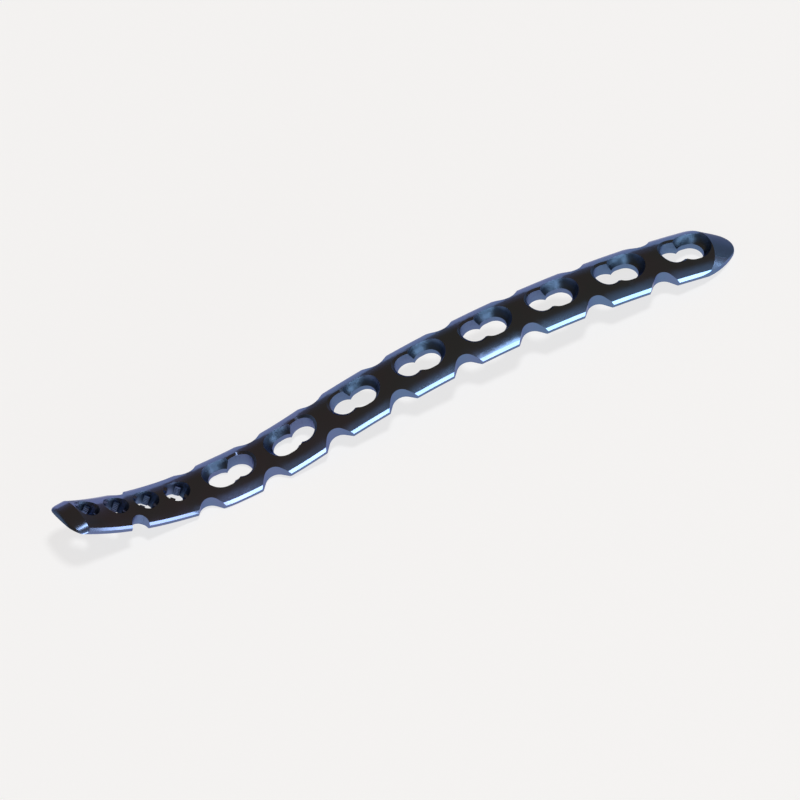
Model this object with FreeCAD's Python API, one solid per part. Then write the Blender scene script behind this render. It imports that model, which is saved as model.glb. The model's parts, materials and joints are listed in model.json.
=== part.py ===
import FreeCAD, Part
import math
import os

# Bent bone plate: one titanium bar with eight combination holes and four star holes.
#
# Frame: +X from the flat tail to the pointed tip, +Y across the plate, +Z up out of its top.
# Origin: the middle of the plate's outline, on the plane that the plate lies on.
#
# Places along the plate are measured on the middle line of its underside, in mm, from the middle
# of the first combination hole. Each place has its own frame: x along the plate, y across it and
# z out of its top.

# Hole layout
pitch = 13.0                        # from one combination hole to the next
combi_count = 8
turned_count = 2                    # combination holes with the threaded lobe towards the tip
star_pitch = 6.3
star_count = 4
star_offset = 11.05                 # from the first combination hole back to the nearest star hole

# Bends and twist
shaft_bend_r = 160.0                # bowed upwards in the middle
tail_bend_r = 62.0                  # turned up towards the tail
bend_change = 15.4
twist_start = -11.0
twist_rate = 0.42                   # degrees for each mm towards the tail
twist_steps = 12

# Section of the shaft
half_width = 5.45
top_height = 3.08                   # middle of the underside to the top
hollow = 0.42                       # edges of the underside below its middle
crown_r = 7.25
bevel_width = 0.33                  # seen from above
side_height = 0.8
corner_break = 0.2                  # along the lower edges

# Section of the tail
tail_half_width = 4.8
tail_top_height = 2.55
tail_hollow = 0.2
taper_start = -1.2
taper_end = -12.0

# Spans between the sections that each length of the bar is drawn through
shaft_spans = 5
neck_spans = 2
taper_spans = 5
tail_spans = 6

# Ends
tip_reach = 9.95                    # from the last combination hole to the tip
tip_end = (combi_count - 1) * pitch + tip_reach
tip_flank_r = 13.5
tip_nose_r = 3.0
tip_ramp_run = 5.05
tip_ramp_start = tip_end - tip_ramp_run
tip_ramp_angle = 27.5
tip_ramp_crown_r = 6.0
tail_reach = 4.95                   # from the last star hole to the end
tail_end = -star_offset - (star_count - 1) * star_pitch - tail_reach
tail_corner_r = 3.0
tail_nose_r = 14.0
tail_ramp_run = 2.5
tail_ramp_start = tail_end + tail_ramp_run
tail_ramp_angle = 31.0
tail_ramp_crown_r = 6.5
ramp_lead = 3.0                     # the ramp's round back dresses the sides this far before it
tip_soft_r = 0.3
tail_soft_r = 0.8
slack = 0.02                        # keeps curves clear of faces that they would only touch

# Notches in both edges
notch_reach = 3.5                   # from the middle line to the bottom of a notch
notch_r = 2.3
notch_flank = 45.0                  # degrees to the edge
round_notch_r = 1.75
round_notch_centre = 4.75

# Combination hole: threaded lobe and slot lobe on either side of its middle
lobe_offset = 2.12
thread_r = 2.3                      # in the straight foot
foot_height = 1.0                   # straight foot of the bore above the underside
thread_taper = 7.0                  # degrees, above the foot
rim_break = 0.42
rim_samples = 6                     # places on an edge that tell a rim from other edges
slot_near = 1.0
slot_far = 1.8
slot_r = 2.07
slot_land = foot_height
bowl_r = 3.25
bowl_height = 3.5                   # middle of the bowl's sphere above the underside

# Star hole
star_r = 1.75                       # between the columns at the underside
star_rim_r = 2.35
star_bore_r = 1.6                   # inside the columns
column_width = 0.95
column_drop = 0.5                   # column tops below the rim
star_lean = 7.5                     # degrees, top towards the tip

end_waste = 1.0                     # bar past each end, before the ends are cut
overrun = 6.0                       # cutters past the faces that they cut
star_overrun = 1.0                  # star cutters below the underside


def step(length, curvature, twist=0.0):
    """Placement after running a length of even bend, then turning about the plate's own axis."""
    angle = length * curvature
    end = FreeCAD.Vector(math.sin(angle) / curvature, 0, (1 - math.cos(angle)) / curvature)
    bend = FreeCAD.Rotation(FreeCAD.Vector(0, 1, 0), -math.degrees(angle))
    turn = FreeCAD.Rotation(FreeCAD.Vector(1, 0, 0), twist * length)
    return FreeCAD.Placement(end, bend.multiply(turn))


def lie_angle():
    """Slope where the bend changes, with the belly's edges and the tip on one plane."""
    turn = (tip_end - bend_change) / shaft_bend_r
    a = shaft_bend_r * math.cos(turn) - shaft_bend_r - tail_bend_r
    b = shaft_bend_r * math.sin(turn)
    c = tail_bend_r + hollow
    return math.degrees(math.atan2(b, a) - math.acos(-c / math.hypot(a, b)))


def station(s):
    """Placement of the plate's own frame at a place along it."""
    here = FreeCAD.Placement(
        FreeCAD.Vector(), FreeCAD.Rotation(FreeCAD.Vector(0, 1, 0), -lie_angle()))
    if s >= bend_change:
        return here.multiply(step(s - bend_change, -1 / shaft_bend_r))
    here = here.multiply(step(max(s, twist_start) - bend_change, 1 / tail_bend_r))
    if s < twist_start:
        part = (s - twist_start) / twist_steps
        for _ in range(twist_steps):
            here = here.multiply(step(part, 1 / tail_bend_r, twist_rate))
    return here


def placed(shape, s):
    """The shape moved from the plate's own frame at a place into the part's frame."""
    moved = shape.copy()
    moved.Placement = station(s).multiply(shape.Placement)
    return moved


def blend(s, tail_value, shaft_value):
    """Value that runs smoothly from the shaft's to the tail's over the taper."""
    share = min(1.0, max(0.0, (taper_start - s) / (taper_start - taper_end)))
    return shaft_value + (tail_value - shaft_value) * share * share * (3 - 2 * share)


def arc(a, b, c):
    return Part.Arc(a, b, c).toShape()


def line(a, b):
    return Part.LineSegment(a, b).toShape()


def section(s):
    """Closed outline of the bar at a place: crowned top, bevels, low sides and hollow underside."""
    half = blend(s, tail_half_width, half_width)
    top = blend(s, tail_top_height, top_height)
    low = -blend(s, tail_hollow, hollow)
    shoulder = half - bevel_width
    shoulder_z = top - crown_r + math.sqrt(crown_r ** 2 - shoulder ** 2)

    def at(y, z):
        return FreeCAD.Vector(0, y, z)

    def side(sign):
        """Edges from the crown down to the underside."""
        points = [at(sign * shoulder, shoulder_z), at(sign * half, low + side_height),
                  at(sign * half, low + corner_break), at(sign * (half - corner_break), low)]
        return [line(a, b) for a, b in zip(points, points[1:])]

    crown = arc(at(-shoulder, shoulder_z), at(0, top), at(shoulder, shoulder_z))
    under = arc(at(half - corner_break, low), at(0, 0), at(corner_break - half, low))
    outline = Part.Wire([crown] + side(1) + [under] + side(-1)[::-1])
    return placed(outline, s)


def spread(start, stop, spans):
    """Places that divide a length into equal spans, without its last place."""
    return [start + (stop - start) * i / spans for i in range(spans)]


def bar(places):
    """Length of the bar, drawn through its sections at the places."""
    return Part.makeLoft([section(s) for s in places], True, False)


def tapered_tail():
    """Length of the bar that narrows, thins and twists towards the tail."""
    stop = tail_end - end_waste
    taper = spread(taper_start, taper_end, taper_spans)
    return bar(taper + spread(taper_end, stop, tail_spans) + [stop])


def prism(edges, low, high):
    """Solid of even height over a closed plan outline."""
    base = Part.Face(Part.Wire(edges))
    base.translate(FreeCAD.Vector(0, 0, low))
    return base.extrude(FreeCAD.Vector(0, 0, high - low))


def block(x0, x1, half_y, z0, z1):
    return Part.makeBox(x1 - x0, 2 * half_y, z1 - z0, FreeCAD.Vector(x0, -half_y, z0))


def end_plan(side_x, side_y, side_r, turn, ahead):
    """Tall solid inside an end's plan: two side arcs, about (side_x, +-side_y), and a nose.

    Each side arc runs from the edge round to the angle turn, where the nose takes over.
    """
    def on_side(angle, sign):
        return FreeCAD.Vector(side_x + side_r * math.cos(angle),
                              sign * (side_y + side_r * math.sin(angle)), 0)

    def side(sign):
        edge = math.pi / 2
        return arc(on_side(edge, sign), on_side((edge + turn) / 2, sign), on_side(turn, sign))

    nose = arc(on_side(turn, 1), FreeCAD.Vector(ahead, 0, 0), on_side(turn, -1))
    back = line(on_side(math.pi / 2, -1), on_side(math.pi / 2, 1))
    return prism([side(1), nose, side(-1), back], -overrun, overrun)


def pointed_plan(half, flank_r, nose_r, ahead):
    """Tall solid inside a pointed end: two flanks that run tangent from the edges into a nose.

    The frame's x points out of the end, and the nose reaches x = ahead.
    """
    nose_x = ahead - nose_r
    inset = half - flank_r
    flank_x = nose_x - math.sqrt((flank_r - nose_r) ** 2 - inset ** 2)
    turn = math.atan2(-inset, nose_x - flank_x)

    return end_plan(flank_x, inset, flank_r, turn, ahead)


def blunt_plan(half, corner, nose_r, ahead):
    """Tall solid inside a blunt end: round corners and a slightly bowed end."""
    corner_y = half - corner
    nose_x = ahead - nose_r
    corner_x = nose_x + math.sqrt((nose_r - corner) ** 2 - corner_y ** 2)
    turn = math.atan2(corner_y, corner_x - nose_x)

    return end_plan(corner_x, corner_y, corner, turn, ahead)


def end_cutter(plan, top, angle, round_r, soft_r):
    """Everything outside an end: past its plan and above its ramp, with the edge between softened.

    The ramp has a round back, starts on the top at x = 0 and falls along +x, out of the end.
    """
    fall = math.radians(angle)
    back = FreeCAD.Vector(-round_r * math.sin(fall), 0, top - round_r * math.cos(fall))
    along = FreeCAD.Vector(math.cos(fall), 0, -math.sin(fall))
    ramp = Part.makeCylinder(round_r, 6 * overrun, back - along * (3 * overrun), along)
    start = plan.optimalBoundingBox(False).XMin
    stop = plan.optimalBoundingBox(False).XMax
    keep = plan.common(ramp)
    upper = [edge for edge in keep.Edges if on_outline(edge, start, top)]
    keep = keep.makeFillet(soft_r, upper)
    wide = half_width + overrun
    lead = min(start, -ramp_lead)
    keep = keep.fuse(block(lead - overrun, start, wide, -overrun, overrun).common(ramp))
    return block(lead, stop + overrun, wide, -top, top + overrun).cut(keep)


def on_outline(edge, start, top):
    """Whether the edge runs along an end's outline where its ramp meets it."""
    first, last = edge.ParameterRange
    points = [edge.valueAt(first + (last - first) * k / rim_samples)
              for k in range(1, rim_samples)]
    upright = abs(edge.valueAt(first).z - edge.valueAt(last).z) > top
    return not upright and all(p.x > start + slack and p.z > -top for p in points)


def facing_tail(shape):
    """The shape turned so that its x points to the tail."""
    turned = shape.copy()
    turned.rotate(FreeCAD.Vector(), FreeCAD.Vector(0, 0, 1), 180)
    return turned


def notch_cutter(sign):
    """Notch in one edge: a round bottom with flanks that open outwards."""
    tilt = math.radians(notch_flank)
    centre_y = notch_reach + notch_r
    end_x = notch_r * math.sin(tilt)
    end_y = centre_y - notch_r * math.cos(tilt)
    out = overrun

    def at(x, y):
        return FreeCAD.Vector(x, sign * y, 0)

    mouth_x = end_x + out / math.tan(tilt)
    edges = [arc(at(-end_x, end_y), at(0, notch_reach), at(end_x, end_y)),
             line(at(end_x, end_y), at(mouth_x, end_y + out)),
             line(at(mouth_x, end_y + out), at(-mouth_x, end_y + out)),
             line(at(-mouth_x, end_y + out), at(-end_x, end_y))]
    return prism(edges, -overrun, overrun)


def round_notch_cutter(sign):
    centre = FreeCAD.Vector(0, sign * round_notch_centre, -overrun)
    return Part.makeCylinder(round_notch_r, 2 * overrun, centre)


def cone(low_r, high_r, low, high):
    return Part.makeCone(low_r, high_r, high - low, FreeCAD.Vector(0, 0, low))


def bore_cutter():
    """Bore of a combination hole on its own axis: a straight foot below a taper."""
    grow = math.tan(math.radians(thread_taper))
    foot = Part.makeCylinder(thread_r, foot_height + overrun, FreeCAD.Vector(0, 0, -overrun))
    taper = cone(thread_r, thread_r + grow * overrun, foot_height, foot_height + overrun)
    return foot.fuse(taper)


def slot_cutter(facing):
    """Slot lobe of a combination hole: a straight land below a bowl for a round screw head."""
    near = facing * slot_near
    far = facing * slot_far
    x0 = min(near, far)
    length = abs(far - near)
    along = FreeCAD.Vector(1, 0, 0)
    land = block(x0, x0 + length, slot_r, -overrun, slot_land)
    bowl = Part.makeCylinder(bowl_r, length, FreeCAD.Vector(x0, 0, bowl_height), along)
    for x in (near, far):
        foot = FreeCAD.Vector(x, 0, -overrun)
        land = land.fuse(Part.makeCylinder(slot_r, overrun + slot_land, foot))
        bowl = bowl.fuse(Part.makeSphere(bowl_r, FreeCAD.Vector(x, 0, bowl_height)))
    return land.fuse(bowl)


def star_cutter():
    """Star hole: a flared bore with four columns left standing in it, leaning towards the tip."""
    flare = (star_rim_r - star_r) / tail_top_height
    bore = cone(star_r - flare * star_overrun, star_r + flare * overrun, -star_overrun, overrun)
    column_top = tail_top_height - column_drop
    column = block(star_bore_r, 2 * star_rim_r, column_width / 2, -overrun, column_top)
    for k in range(4):
        turned = column.copy()
        turned.rotate(FreeCAD.Vector(), FreeCAD.Vector(0, 0, 1), 45 + 90 * k)
        bore = bore.cut(turned)
    inside = Part.makeCylinder(star_bore_r, column_top + star_overrun,
                               FreeCAD.Vector(0, 0, -star_overrun))
    bore = bore.fuse(inside)
    bore.rotate(FreeCAD.Vector(0, 0, tail_top_height / 2), FreeCAD.Vector(0, 1, 0), star_lean)
    return bore


def facing_of(hole):
    """+1 where the slot lobe is towards the tip, -1 where the threaded lobe is."""
    return -1 if hole < turned_count else 1


def lobe_place(hole):
    """Frame of a tapered bore, on its own axis."""
    aside = FreeCAD.Vector(-facing_of(hole) * lobe_offset, 0, 0)
    return station(hole * pitch).multiply(FreeCAD.Placement(aside, FreeCAD.Rotation()))


def on_rim(edge, place):
    """Whether the edge is the top rim of the tapered bore in the given frame."""
    rim_r = thread_r + math.tan(math.radians(thread_taper)) * (top_height - foot_height)
    first, last = edge.ParameterRange
    points = [edge.valueAt(first + (last - first) * k / rim_samples) for k in range(rim_samples + 1)]
    local = [place.inverse().multVec(p) for p in points]
    return all(p.z > top_height / 2 and abs(math.hypot(p.x, p.y) - rim_r) < rim_break
               for p in local)


def bored_shaft():
    """Even length of the bar with its tapered bores and their broken rims."""
    stop = tip_end + end_waste
    shaft = bar(spread(bend_change, stop, shaft_spans) + [stop])
    shaft = shaft.fuse(bar(spread(taper_start, bend_change, neck_spans) + [bend_change]))
    places = [lobe_place(hole) for hole in range(combi_count)]
    for place in places:
        bore = bore_cutter()
        bore.Placement = place
        shaft = shaft.cut(bore)
    rims = [edge for edge in shaft.Edges if any(on_rim(edge, place) for place in places)]
    return shaft.makeChamfer(rim_break, rims)


def cut_ends(solid):
    """The bar with both ends cut to their plans and ramped down to thin edges."""
    plan = pointed_plan(half_width, tip_flank_r, tip_nose_r, tip_ramp_run)
    tip = end_cutter(plan, top_height, tip_ramp_angle, tip_ramp_crown_r, tip_soft_r)
    solid = solid.cut(placed(tip, tip_ramp_start))
    plan = blunt_plan(tail_half_width + slack, tail_corner_r, tail_nose_r, tail_ramp_run)
    tail = end_cutter(plan, tail_top_height, tail_ramp_angle, tail_ramp_crown_r, tail_soft_r)
    return solid.cut(placed(facing_tail(tail), tail_ramp_start))


def cut_notches(solid):
    """The bar with its pairs of notches: one before each combination hole, one between star holes."""
    stars_middle = -star_offset - (star_count - 1) / 2 * star_pitch
    for sign in (-1, 1):
        for hole in range(combi_count):
            solid = solid.cut(placed(notch_cutter(sign), (hole - 0.5) * pitch))
        solid = solid.cut(placed(round_notch_cutter(sign), stars_middle))
    return solid


def plate():
    solid = bored_shaft().fuse(tapered_tail())
    for hole in range(combi_count):
        solid = solid.cut(placed(slot_cutter(facing_of(hole)), hole * pitch))
    for hole in range(star_count):
        solid = solid.cut(placed(star_cutter(), -star_offset - hole * star_pitch))
    return cut_ends(cut_notches(solid)).Solids[0]


def on_the_table(shape):
    """The shape with its outline's middle over the origin and its lowest point on the plane."""
    box = shape.optimalBoundingBox(False)
    shape.translate(FreeCAD.Vector(-(box.XMin + box.XMax) / 2, -(box.YMin + box.YMax) / 2, -box.ZMin))
    return shape


if __name__ == "__main__":
    os.makedirs("parts", exist_ok=True)
    body = on_the_table(plate())
    body.exportStep("parts/plate.step")
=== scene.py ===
import json
import logging
import math
from dataclasses import dataclass, field
from enum import Enum
from typing import Any

import bpy
from mathutils import Matrix, Vector


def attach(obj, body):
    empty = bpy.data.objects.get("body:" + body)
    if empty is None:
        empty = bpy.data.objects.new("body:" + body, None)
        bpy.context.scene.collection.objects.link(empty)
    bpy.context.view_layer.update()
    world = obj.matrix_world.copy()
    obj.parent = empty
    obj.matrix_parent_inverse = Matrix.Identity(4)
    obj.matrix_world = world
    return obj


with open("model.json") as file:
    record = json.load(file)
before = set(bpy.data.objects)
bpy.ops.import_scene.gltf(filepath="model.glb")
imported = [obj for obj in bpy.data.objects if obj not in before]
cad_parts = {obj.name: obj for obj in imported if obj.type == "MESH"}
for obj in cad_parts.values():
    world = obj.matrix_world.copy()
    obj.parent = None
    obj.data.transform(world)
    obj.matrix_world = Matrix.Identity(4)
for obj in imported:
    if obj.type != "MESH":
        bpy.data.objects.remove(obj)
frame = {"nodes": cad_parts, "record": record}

LOG = logging.getLogger("bone_plate")
MM = 0.001
BODY = "root"
COOL_WHITE = (0.93, 1.0, 1.0)

Colour = tuple[float, float, float]
Point = tuple[float, float, float]


class Wire:
    """An output of a shader node that can be used in Python expressions."""

    def __init__(self, graph: "Graph", socket: Any) -> None:
        """Keeps the socket and the graph that new nodes go to.

        Args:
            graph: the node graph that the socket belongs to.
            socket: the output socket.
        """
        self.graph = graph
        self.socket = socket

    def _maths(self, operation: str, first: "Wire | float", second: "Wire | float") -> "Wire":
        """Adds one Math node.

        Args:
            operation: the node's operation.
            first: its first value.
            second: its second value.

        Returns:
            The node's result.
        """
        return self.graph.node("ShaderNodeMath", {"operation": operation}, {0: first, 1: second})

    def __add__(self, other: "Wire | float") -> "Wire":
        """Sum."""
        return self._maths("ADD", self, other)

    __radd__ = __add__

    def __sub__(self, other: "Wire | float") -> "Wire":
        """Difference."""
        return self._maths("SUBTRACT", self, other)

    def __rsub__(self, other: float) -> "Wire":
        """Difference from a number."""
        return self._maths("SUBTRACT", other, self)

    def __mul__(self, other: "Wire | float") -> "Wire":
        """Product."""
        return self._maths("MULTIPLY", self, other)

    __rmul__ = __mul__

    def __pow__(self, other: "Wire | float") -> "Wire":
        """Power."""
        return self._maths("POWER", self, other)

    def clamped(self) -> "Wire":
        """The value held between 0 and 1."""
        return self.graph.node("ShaderNodeClamp", {}, {"Value": self})

    def ramp(self, low: float, high: float) -> "Wire":
        """Smooth step of the value.

        Args:
            low: where the step starts.
            high: where it ends.

        Returns:
            0 below the step and 1 above it.
        """
        settings = {"interpolation_type": "SMOOTHSTEP"}
        ends = {"Value": self, "From Min": low, "From Max": high}
        return self.graph.node("ShaderNodeMapRange", settings, ends)


class Graph:
    """The node graph of one material or of the world."""

    def __init__(self, owner: Any) -> None:
        """Empties the owner's graph.

        Args:
            owner: the material or world.
        """
        owner.use_nodes = True
        self.tree = owner.node_tree
        self.tree.nodes.clear()

    def node(self, kind: str, settings: dict[str, Any], inputs: dict[Any, Any],
             output: int | str = 0) -> Wire:
        """Adds a node.

        Args:
            kind: the node's type.
            settings: its properties, set first.
            inputs: values or wires for its sockets, by name or number.
            output: the output that is returned.

        Returns:
            The chosen output.
        """
        made = self.tree.nodes.new(kind)
        for name, value in settings.items():
            setattr(made, name, value)
        for name, value in inputs.items():
            if isinstance(value, Wire):
                self.tree.links.new(value.socket, made.inputs[name])
            else:
                made.inputs[name].default_value = value
        return Wire(self, made.outputs[output]) if made.outputs else Wire(self, None)

    def mix(self, share: Wire | float, first: Any, second: Any) -> Wire:
        """Mixes two colours.

        Args:
            share: how much of the second.
            first: the first colour.
            second: the second colour.

        Returns:
            The mixed colour.
        """
        def plain(value: Any) -> Any:
            """Adds alpha to a written colour."""
            return value if isinstance(value, Wire) else (*value, 1.0)

        made = self.tree.nodes.new("ShaderNodeMix")
        made.data_type = "RGBA"
        for index, value in ((0, share), (6, plain(first)), (7, plain(second))):
            if isinstance(value, Wire):
                self.tree.links.new(value.socket, made.inputs[index])
            else:
                made.inputs[index].default_value = value
        return Wire(self, made.outputs[2])

    def place(self, scale: Point) -> Wire:
        """Object coordinates, stretched.

        Args:
            scale: factor along each axis.

        Returns:
            The coordinates.
        """
        here = self.node("ShaderNodeTexCoord", {}, {}, "Object")
        return self.node("ShaderNodeMapping", {}, {"Vector": here, "Scale": scale})

    def noise(self, scale: Point, detail: float = 2.0) -> Wire:
        """Noise over the object.

        Args:
            scale: spots for each metre along each axis.
            detail: octaves.

        Returns:
            The noise value.
        """
        ends = {"Vector": self.place(scale), "Scale": 1.0, "Detail": detail}
        return self.node("ShaderNodeTexNoise", {}, ends)

    def surface(self, shader: Wire) -> None:
        """Sends a shader to a material's output."""
        self.node("ShaderNodeOutputMaterial", {}, {"Surface": shader})


@dataclass(frozen=True)
class PolishedTitanium:
    """Dark blue oxide on polished metal, with a fine grain along the plate and painted shade in the bowls of
    the holes.
    """

    name: str = "polished_dark_blue_titanium"
    blue: Colour = (0.108, 0.170, 0.296)
    violet: Colour = (0.150, 0.152, 0.312)
    # Deeper blue painted into the sloping bowls of the holes as painted shade.
    painted_bowl_shade: Colour = (0.040, 0.075, 0.130)
    edge: Colour = (0.54, 0.55, 0.72)
    roughness: float = 0.19
    hole_roughness: float = 0.24
    grain_depth: float = 0.003
    grain_strength: float = 0.25
    film_scale: Point = (130.0, 130.0, 130.0)
    grain_scale: Point = (900.0, 16000.0, 16000.0)
    handled_scale: Point = (260.0, 420.0, 420.0)
    tail_from: float = -0.045
    tail_to: float = 0.030
    hole_edge: tuple[float, float] = (10.9, 12.2)
    steep: tuple[float, float] = (0.72, 0.86)
    sloping: tuple[float, float] = (0.22, 0.45)

    def material(self) -> bpy.types.Material:
        """Makes the material.

        Returns:
            The material.
        """
        made = bpy.data.materials.new(self.name)
        graph = Graph(made)
        film = graph.noise(self.film_scale, 3.0).ramp(0.38, 0.66)
        along = graph.node("ShaderNodeSeparateXYZ", {}, {"Vector": graph.place((1.0, 1.0, 1.0))}, "X")
        tailward = 1.0 - along.ramp(self.tail_from, self.tail_to)
        walls, bowl_shade_mask = self.hole_walls(graph)
        colour = graph.mix(film * 0.3 + tailward * 0.25, self.blue, self.violet)
        # Painted shade: the sloping bowl walls of the holes are darkened towards a deeper blue.
        colour = graph.mix(bowl_shade_mask * 0.7, colour, self.painted_bowl_shade)
        grain = graph.noise(self.grain_scale, 2.0)
        handled = graph.noise(self.handled_scale, 4.0).ramp(0.42, 0.75)
        rough = handled * 0.05 + grain * 0.05 + (self.roughness - 0.05)
        rough = rough + walls * self.hole_roughness
        bump = graph.node("ShaderNodeBump", {}, {
            "Strength": self.grain_strength, "Distance": self.grain_depth * MM, "Height": grain})
        shader = graph.node("ShaderNodeBsdfPrincipled", {}, {
            "Base Color": colour, "Metallic": 1.0, "Roughness": rough,
            "Specular Tint": (*self.edge, 1.0), "Normal": bump})
        graph.surface(shader)
        return made

    def hole_walls(self, graph: Graph) -> tuple[Wire, Wire]:
        """Masks of the steep walls along the plate's middle, by the square of the distance from it.

        Args:
            graph: the material's node graph.

        Returns:
            Two masks: all walls of the holes, and those that slope outwards.
        """
        facing = graph.node("ShaderNodeNewGeometry", {}, {}, "Normal")
        upright = graph.node("ShaderNodeSeparateXYZ", {}, {"Vector": facing}, "Z")
        here = graph.place((1.0 / MM, 1.0 / MM, 1.0 / MM))
        across = graph.node("ShaderNodeSeparateXYZ", {}, {"Vector": here}, "Y")
        outside = (across * across).ramp(*self.hole_edge)
        walls = (1.0 - upright.ramp(*self.steep)) * (1.0 - outside)
        return walls, walls * upright.ramp(*self.sloping)


@dataclass(frozen=True)
class PaleFloor:
    """Matt pale paper that keeps the object's shadow."""

    name: str = "pale_paper"
    colour: Colour = (0.93, 0.93, 0.935)
    glow: float = 0.72

    def material(self) -> bpy.types.Material:
        """Makes the material.

        Returns:
            The material.
        """
        made = bpy.data.materials.new(self.name)
        graph = Graph(made)
        paper = graph.node("ShaderNodeBsdfDiffuse", {}, {"Color": (*self.colour, 1.0)})
        bright = graph.node("ShaderNodeEmission", {}, {"Color": (1.0, 1.0, 1.0, 1.0), "Strength": 1.0})
        camera = graph.node("ShaderNodeLightPath", {}, {}, "Is Camera Ray")
        glossy = graph.node("ShaderNodeLightPath", {}, {}, "Is Glossy Ray")
        through = graph.node("ShaderNodeLightPath", {}, {}, "Is Transmission Ray")
        seen = (camera * self.glow + glossy + through).clamped()
        lit = graph.node("ShaderNodeMixShader", {}, {0: seen, 1: paper, 2: bright})
        clear = graph.node("ShaderNodeBsdfTransparent", {}, {})
        below = graph.node("ShaderNodeNewGeometry", {}, {}, "Backfacing")
        graph.surface(graph.node("ShaderNodeMixShader", {}, {0: below, 1: lit, 2: clear}))
        return made


@dataclass
class Frame:
    """A place with its own axes, in metres."""

    origin: Vector
    along: Vector
    across: Vector
    out: Vector

    def point(self, x: float, y: float, z: float) -> Vector:
        """A point given in this frame.

        Args:
            x: along the plate, in mm.
            y: across it, in mm.
            z: out of its top, in mm.

        Returns:
            The point in the part's frame, in metres.
        """
        return self.origin + (self.along * x + self.across * y + self.out * z) * MM


def frame_of(mount: dict[str, Any], towards: Vector) -> Frame:
    """Frame of a hole from its mount.

    Args:
        mount: the hole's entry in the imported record.
        towards: rough direction of the frame's x axis.

    Returns:
        The frame, with its origin at the mount's point.
    """
    out = Vector(mount["axis"]).normalized()
    along = (towards - out * towards.dot(out)).normalized()
    return Frame(Vector(mount["pos_m"]), along, out.cross(along), out)


def mesh_piece(name: str, points: list[Vector], faces: list[tuple[int, ...]],
               material: bpy.types.Material) -> bpy.types.Object:
    """Makes a smooth mesh object.

    Args:
        name: the piece's name.
        points: its points, in metres.
        faces: its faces.
        material: its finish.

    Returns:
        The object.
    """
    mesh = bpy.data.meshes.new(name)
    mesh.from_pydata([tuple(p) for p in points], [], faces)
    mesh.materials.append(material)
    mesh.shade_smooth()
    made = bpy.data.objects.new(name, mesh)
    bpy.context.scene.collection.objects.link(made)
    return made


@dataclass
class Ridge:
    """Triangular thread ridge on a wall of a hole."""

    height: float = 0.02
    half_base: float = 0.14
    half_crest: float = 0.02
    root: float = 0.02

    def build(self, places: list[tuple[float, float, float, float]], hole: Frame,
              points: list[Vector], faces: list[tuple[int, ...]]) -> None:
        """Adds the ridge along a line on the wall.

        Args:
            places: angle, wall radius, height and share of the full ridge, for each point of the line.
            hole: the hole's frame.
            points: points so far, added to.
            faces: faces so far, added to.
        """
        start = len(points)
        for angle, wall, z, share in places:
            rise = self.height * share
            for radius, dz in ((wall + self.root, -self.half_base), (wall - rise, -self.half_crest),
                               (wall - rise, self.half_crest), (wall + self.root, self.half_base)):
                points.append(hole.point(radius * math.cos(angle), radius * math.sin(angle), z + dz * share))
        for i in range(len(places) - 1):
            for j in range(3):
                a = start + 4 * i + j
                faces.append((a, a + 1, a + 5, a + 4))


@dataclass
class LobeThreads:
    """Fine thread in the round lobe of one combination hole."""

    number: int
    hole: Frame
    foot_radius: float = 2.3
    foot_height: float = 1.0
    taper: float = math.radians(7.0)
    pitch: float = 0.32
    turns: int = 8
    top: float = 3.08
    crown: float = 7.25
    rim_break: float = 0.42
    slot_near: float = 3.12
    slot_radius: float = 2.07
    bowl_radius: float = 3.25
    bowl_height: float = 3.5
    steps: int = 72
    first_turn: float = 0.4
    slot_fade: float = 0.12
    rim_gap: float = 0.1
    rim_fade: float = 0.15
    least_share: float = 0.05
    ridge: Ridge = field(default_factory=Ridge)

    def wall(self, z: float) -> float:
        """Radius of the bore at a height above the underside, both in mm."""
        return self.foot_radius + max(0.0, z - self.foot_height) * math.tan(self.taper)

    def opening(self, z: float) -> float:
        """Half angle at which the slot lobe cuts the wall.

        Args:
            z: height above the underside, in mm.

        Returns:
            The angle, in radians.
        """
        wall = self.wall(z)
        other = self.slot_radius
        if z > self.foot_height:
            other = max(other, math.sqrt(max(0.0, self.bowl_radius ** 2 - (self.bowl_height - z) ** 2)))
        reach = (self.slot_near ** 2 + wall ** 2 - other ** 2) / (2 * self.slot_near * wall)
        return math.acos(max(-1.0, min(1.0, reach)))

    def build(self, material: bpy.types.Material) -> bpy.types.Object:
        """Makes the thread.

        Args:
            material: its finish.

        Returns:
            The piece.
        """
        points: list[Vector] = []
        faces: list[tuple[int, ...]] = []
        for turn in range(self.turns):
            places = []
            for step in range(self.steps + 1):
                angle = 2 * math.pi * step / self.steps
                z = self.pitch * (turn + self.first_turn + step / self.steps)
                wall = self.wall(z)
                side = min(angle, 2 * math.pi - angle) - self.opening(z)
                lid = self.top - (wall * math.sin(angle)) ** 2 / (2 * self.crown) - self.rim_break
                share = min(1.0, side / self.slot_fade, (lid - z - self.rim_gap) / self.rim_fade)
                if share > self.least_share:
                    places.append((angle, wall, z - self.foot_height / 2, share))
                    continue
                if len(places) > 1:
                    self.ridge.build(places, self.hole, points, faces)
                places = []
            if len(places) > 1:
                self.ridge.build(places, self.hole, points, faces)
        return mesh_piece(f"lobe_thread_{self.number}", points, faces, material)


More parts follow.
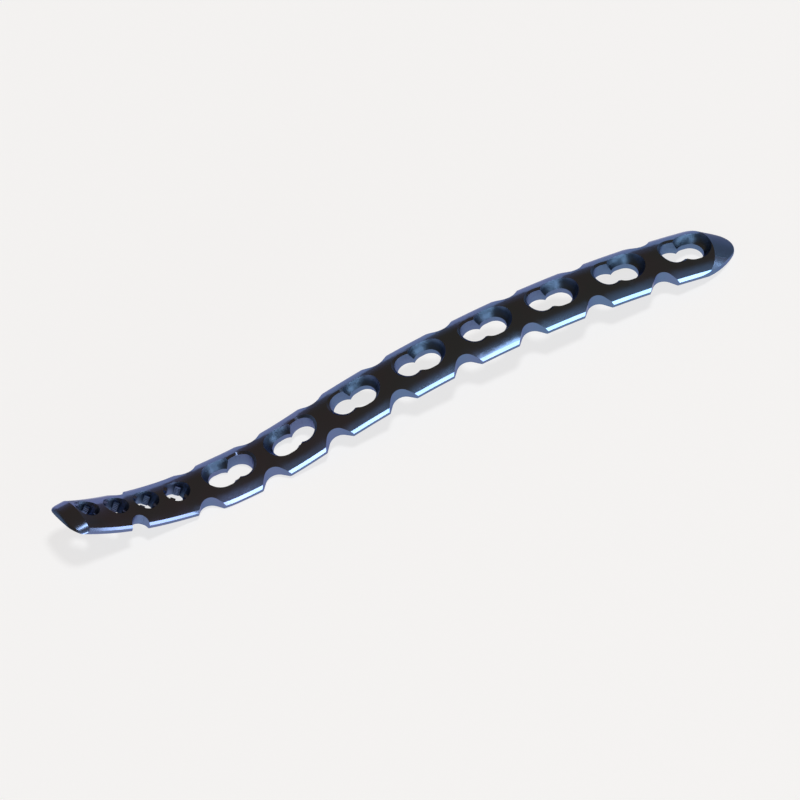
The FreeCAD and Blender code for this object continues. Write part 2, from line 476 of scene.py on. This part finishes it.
@dataclass
class ColumnThreads:
    """Thread ridges on the four columns of one star hole."""

    number: int
    hole: Frame
    radius: float = 1.6
    half_angle: float = math.radians(15.5)
    low: float = -0.95
    high: float = 0.6
    pitch: float = 0.32
    steps: int = 8
    columns: int = 4
    ridge: Ridge = field(default_factory=lambda: Ridge(0.05, 0.14))

    def build(self, material: bpy.types.Material) -> bpy.types.Object:
        """Makes the ridges.

        Args:
            material: their finish.

        Returns:
            The piece.
        """
        points: list[Vector] = []
        faces: list[tuple[int, ...]] = []
        count = int((self.high - self.low) / self.pitch) + 1
        for column in range(self.columns):
            middle = 2 * math.pi * (column + 0.5) / self.columns
            for row in range(count):
                z = self.low + self.pitch * (row + column / self.columns)
                places = []
                for step in range(self.steps + 1):
                    turn = (2 * step / self.steps - 1) * self.half_angle
                    places.append((middle + turn, self.radius, z + self.pitch * turn / (2 * math.pi), 1.0))
                self.ridge.build(places, self.hole, points, faces)
        return mesh_piece(f"column_thread_{self.number}", points, faces, material)


@dataclass
class BonePlate:
    """The plate itself with the threads in its holes."""

    node: str = "plate"
    finish: PolishedTitanium = field(default_factory=PolishedTitanium)
    combination_holes: int = 8
    star_holes: int = 4

    def mounts(self) -> dict[str, dict[str, Any]]:
        """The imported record's mounts by name."""
        return {mount["name"]: mount for mount in frame["record"]["mounts"]}

    def dress(self, material: bpy.types.Material) -> None:
        """Gives the plate its finish.

        Args:
            material: the finish.
        """
        plate = frame["nodes"][self.node]
        plate.data.materials.clear()
        plate.data.materials.append(material)

    def build(self) -> list[bpy.types.Object]:
        """Dresses the plate and adds its threads.

        Returns:
            The added pieces.
        """
        material = self.finish.material()
        self.dress(material)
        mounts = self.mounts()
        pieces = []
        for number in range(1, self.combination_holes + 1):
            lobe = mounts[f"locking_lobe_{number}"]
            slot = mounts[f"slot_lobe_{number}"]
            hole = frame_of(lobe, Vector(slot["pos_m"]) - Vector(lobe["pos_m"]))
            pieces.append(LobeThreads(number, hole).build(material))
        first = Vector(mounts["star_hole_1"]["pos_m"])
        last = Vector(mounts[f"star_hole_{self.star_holes}"]["pos_m"])
        for number in range(1, self.star_holes + 1):
            star = mounts[f"star_hole_{number}"]
            pieces.append(ColumnThreads(number, frame_of(star, first - last)).build(material))
        for piece in pieces:
            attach(piece, BODY)
        return pieces


class Face(Enum):
    """What a studio light is for."""

    FRONT = "low_front_softbox"
    TAIL = "tail_softbox"
    CORNER = "tail_corner_spot"
    FILL = "overhead_fill"


@dataclass
class Softbox:
    """A rectangular studio light, aimed at a point of the plate."""

    face: Face
    azimuth: float
    elevation: float
    distance: float
    width: float
    height: float
    power: float
    mirrored: bool
    colour: Colour = (1.0, 1.0, 1.0)
    aim: Point = (0.0, 0.0, 0.0)
    reflected_only: bool = False

    def build(self) -> bpy.types.Object:
        """Makes the light.

        Returns:
            The light.
        """
        data = bpy.data.lights.new(self.face.value, "AREA")
        data.shape = "RECTANGLE"
        data.size = self.width
        data.size_y = self.height
        data.energy = self.power
        data.color = self.colour
        lamp = bpy.data.objects.new(self.face.value, data)
        lamp.visible_camera = False
        lamp.visible_glossy = self.mirrored
        lamp.visible_diffuse = not self.reflected_only
        a, e = math.radians(self.azimuth), math.radians(self.elevation)
        back = Vector((math.sin(a) * math.cos(e), -math.cos(a) * math.cos(e), math.sin(e)))
        lamp.location = Vector(self.aim) * MM + back * self.distance
        lamp.rotation_mode = "QUATERNION"
        lamp.rotation_quaternion = (-back).to_track_quat("-Z", "Y")
        bpy.context.scene.collection.objects.link(lamp)
        return lamp


@dataclass
class Studio:
    """Floor, lights and surroundings."""

    floor_half: float = 6.0
    floor_drop: float = 0.02
    sky_low: Colour = (0.30, 0.24, 0.22)
    sky_high: Colour = (0.180, 0.110, 0.058)
    lamps: list[Softbox] = field(default_factory=lambda: [
        Softbox(Face.FRONT, 19.0, 5.0, 1.2, 2.6, 0.20, 14.0, True, COOL_WHITE),
        Softbox(Face.TAIL, 42.0, 24.0, 0.15, 0.072, 0.045, 0.052, True, COOL_WHITE,
                (-57.0, -4.0, 6.0), True),
        Softbox(Face.CORNER, 50.0, 62.0, 0.05, 0.006, 0.006, 0.0011, True, COOL_WHITE,
                (-64.0, -3.5, 10.3), True),
        Softbox(Face.FILL, 20.0, 80.0, 3.0, 0.5, 0.5, 40.0, False)])
    glow_way: Point = (0.30, -0.93, 0.21)
    glow: Colour = (0.50, 0.54, 0.55)

    def floor(self) -> bpy.types.Object:
        """Makes the floor.

        Returns:
            The floor.
        """
        h = self.floor_half
        corners = [Vector((-h, -h, 0.0)), Vector((h, -h, 0.0)), Vector((h, h, 0.0)), Vector((-h, h, 0.0))]
        made = mesh_piece("floor", corners, [(0, 1, 2, 3)], PaleFloor().material())
        made.location.z = -self.floor_drop * MM
        return made

    def world(self) -> None:
        """Makes dim surroundings, a little paler at the horizon."""
        world = bpy.data.worlds.new("surroundings")
        bpy.context.scene.world = world
        graph = Graph(world)
        way = graph.node("ShaderNodeTexCoord", {}, {}, "Generated")
        up = graph.node("ShaderNodeSeparateXYZ", {}, {"Vector": way}, "Z")
        facing = graph.node("ShaderNodeVectorMath", {"operation": "DOT_PRODUCT"},
                            {0: way, 1: Vector(self.glow_way).normalized()}, "Value")
        sky = graph.mix(up.ramp(0.0, 0.5), self.sky_low, self.sky_high)
        colour = graph.mix(facing.ramp(0.60, 0.97), sky, self.glow)
        light = graph.node("ShaderNodeBackground", {}, {"Color": colour, "Strength": 1.0})
        graph.node("ShaderNodeOutputWorld", {}, {"Surface": light})

    def build(self) -> None:
        """Makes the whole studio."""
        self.floor()
        self.world()
        for lamp in self.lamps:
            lamp.build()


@dataclass
class PhotoCamera:
    """Long-lens camera at the photograph's angle."""

    right: Point = (0.872149, -0.484120, -0.070602)
    back: Point = (-0.269383, -0.595654, 0.756723)
    centre: Point = (-0.0384, -1.0578, 1.6483)
    frame_width: float = 138.707
    distance: float = 1.2

    def build(self) -> bpy.types.Object:
        """Makes the camera and hands it to the scene.

        Returns:
            The camera.
        """
        data = bpy.data.cameras.new("photo_camera")
        data.type = "ORTHO"
        data.ortho_scale = self.frame_width * MM
        data.clip_start = 0.01
        data.clip_end = 50.0
        made = bpy.data.objects.new("photo_camera", data)
        right = Vector(self.right).normalized()
        back = Vector(self.back).normalized()
        up = back.cross(right)
        turn = Matrix((right, up, back)).transposed().to_4x4()
        turn.translation = Vector(self.centre) * MM + back * self.distance
        made.matrix_world = turn
        bpy.context.scene.collection.objects.link(made)
        bpy.context.scene.camera = made
        return made


def main() -> None:
    """Builds the classes in order."""
    logging.basicConfig(level=logging.INFO, format="%(name)s: %(message)s")
    scene = bpy.context.scene
    scene.view_settings.view_transform = "Standard"
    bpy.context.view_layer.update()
    for piece in BonePlate().build():
        LOG.info("%s: %d faces", piece.name, len(piece.data.polygons))
    Studio().build()
    LOG.info("studio built")
    camera = PhotoCamera().build()
    LOG.info("camera at %s", tuple(round(v, 3) for v in camera.matrix_world.translation))


if __name__ == "__main__":
    main()
